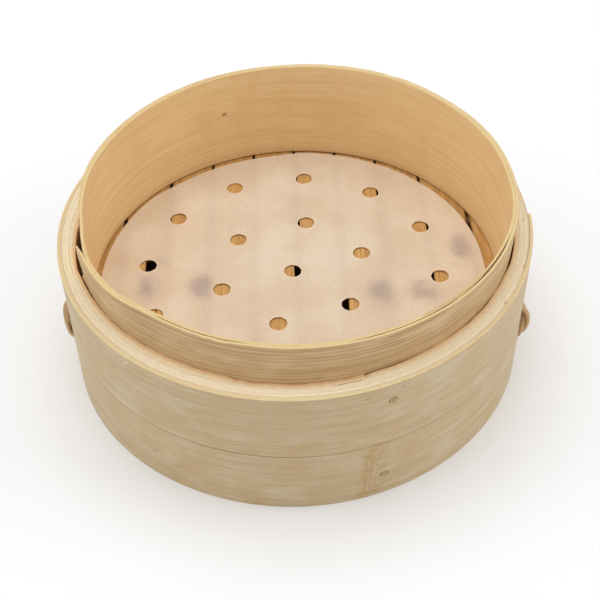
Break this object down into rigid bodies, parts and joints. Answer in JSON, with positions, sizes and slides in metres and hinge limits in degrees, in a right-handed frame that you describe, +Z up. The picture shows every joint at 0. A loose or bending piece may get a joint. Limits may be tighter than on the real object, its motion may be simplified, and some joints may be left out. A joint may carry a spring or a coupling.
{
  "type": "bamboo steamer basket",
  "caption": "Small round bamboo steamer basket for stacking, with lapped hoops, a raised collar, a slatted floor and a lift-out perforated paper liner.",
  "frame": {"origin": "middle of the wall's bottom edge, on the plane the basket stands on", "axes": "+Z up through the basket; +X to the right, through the two side stitches' side, along the battens; the floor slats run along Y"},
  "size_m": [0.1537, 0.152, 0.062],
  "materials": {
    "bamboo_skin": "smooth split bamboo, pale khaki, fine horizontal grain",
    "bamboo_core": "pale inner bamboo, matt, cut edge showing",
    "bamboo_lining": "orange-tan inner bamboo, matt",
    "bamboo_collar": "warm orange-tan bamboo, satin, fine horizontal grain",
    "bamboo_slat": "darker honey bamboo, lengthways grain",
    "bamboo_batten": "plain bamboo bar, matt",
    "bamboo_peg": "bamboo end grain, brown",
    "cane_stitch": "brown cane strip, satin",
    "liner_paper": "thin off-white cooking paper, matt"
  },
  "bodies": {
    "basket": {"skin_hoop_upper": "bamboo_skin", "skin_hoop_lower": "bamboo_skin", "core_hoop_outer": "bamboo_core", "core_hoop_inner": "bamboo_core", "lining_hoop_upper": "bamboo_lining", "lining_hoop_lower": "bamboo_lining", "collar_hoop_outer": "bamboo_collar", "collar_hoop_inner": "bamboo_collar", "batten_front": "bamboo_batten", "batten_rear": "bamboo_batten", "stitch_left": "cane_stitch", "stitch_right": "cane_stitch", "peg_upper_front": "bamboo_peg", "peg_upper_rear": "bamboo_peg", "peg_lower_front": "bamboo_peg", "peg_lower_rear": "bamboo_peg", "floor_slat_01": "bamboo_slat", "floor_slat_02": "bamboo_slat", "floor_slat_03": "bamboo_slat", "floor_slat_04": "bamboo_slat", "floor_slat_05": "bamboo_slat", "floor_slat_06": "bamboo_slat", "floor_slat_07": "bamboo_slat", "floor_slat_08": "bamboo_slat", "floor_slat_09": "bamboo_slat", "floor_slat_10": "bamboo_slat"},
    "liner": {"paper_liner": "liner_paper"}
  },
  "joints": [
    {"name": "liner_lift", "type": "slide", "parent": "basket", "child": "liner", "axis": [0, 0, 1], "range_m": [0, 0.045]}
  ]
}
